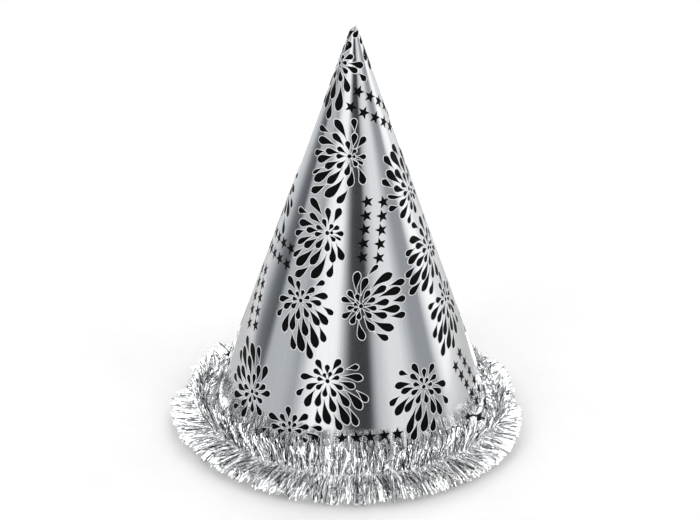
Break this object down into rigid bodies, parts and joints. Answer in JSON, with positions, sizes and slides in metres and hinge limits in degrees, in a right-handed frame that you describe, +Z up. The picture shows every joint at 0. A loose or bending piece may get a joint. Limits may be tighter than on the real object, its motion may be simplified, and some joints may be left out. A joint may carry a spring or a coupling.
{
  "type": "party hat",
  "caption": "Cone party hat of metallised card with a burst print, a tinsel fringe round the brim and an elastic chin strap.",
  "frame": {"origin": "centre of the head opening, in the plane of the card's bottom edge, where the wearer's head comes in", "axes": "+Z up the cone to the tip; +X through both elastic holes; +Y towards the back, where the card's seam is"},
  "size_m": [0.1926, 0.193, 0.2328],
  "materials": {
    "foil_card": "silver metallised face, satin, printed black; plain white board inside",
    "print_ink": "black ink, slightly glossy",
    "clear_tape": "double-sided tape",
    "thread": "twisted silver-grey thread",
    "tinsel": "bright silver metallised film",
    "glue": "hot-melt glue, milky",
    "elastic": "black braided elastic cord"
  },
  "bodies": {
    "hat": {"cone_card": "foil_card", "seam_tape": "clear_tape", "garland_core_thread_a": "thread", "garland_core_thread_b": "thread", "tinsel_foil_upper": "tinsel", "tinsel_foil_lower": "tinsel", "garland_glue_bead": "glue"},
    "chin_strap": {"chin_elastic": "elastic"}
  },
  "joints": [
    {"name": "strap_swing", "type": "hinge", "parent": "hat", "child": "chin_strap", "pos_m": [0, 0, 0.016], "axis": [1, 0, 0], "range_deg": [-122, 103]}
  ]
}
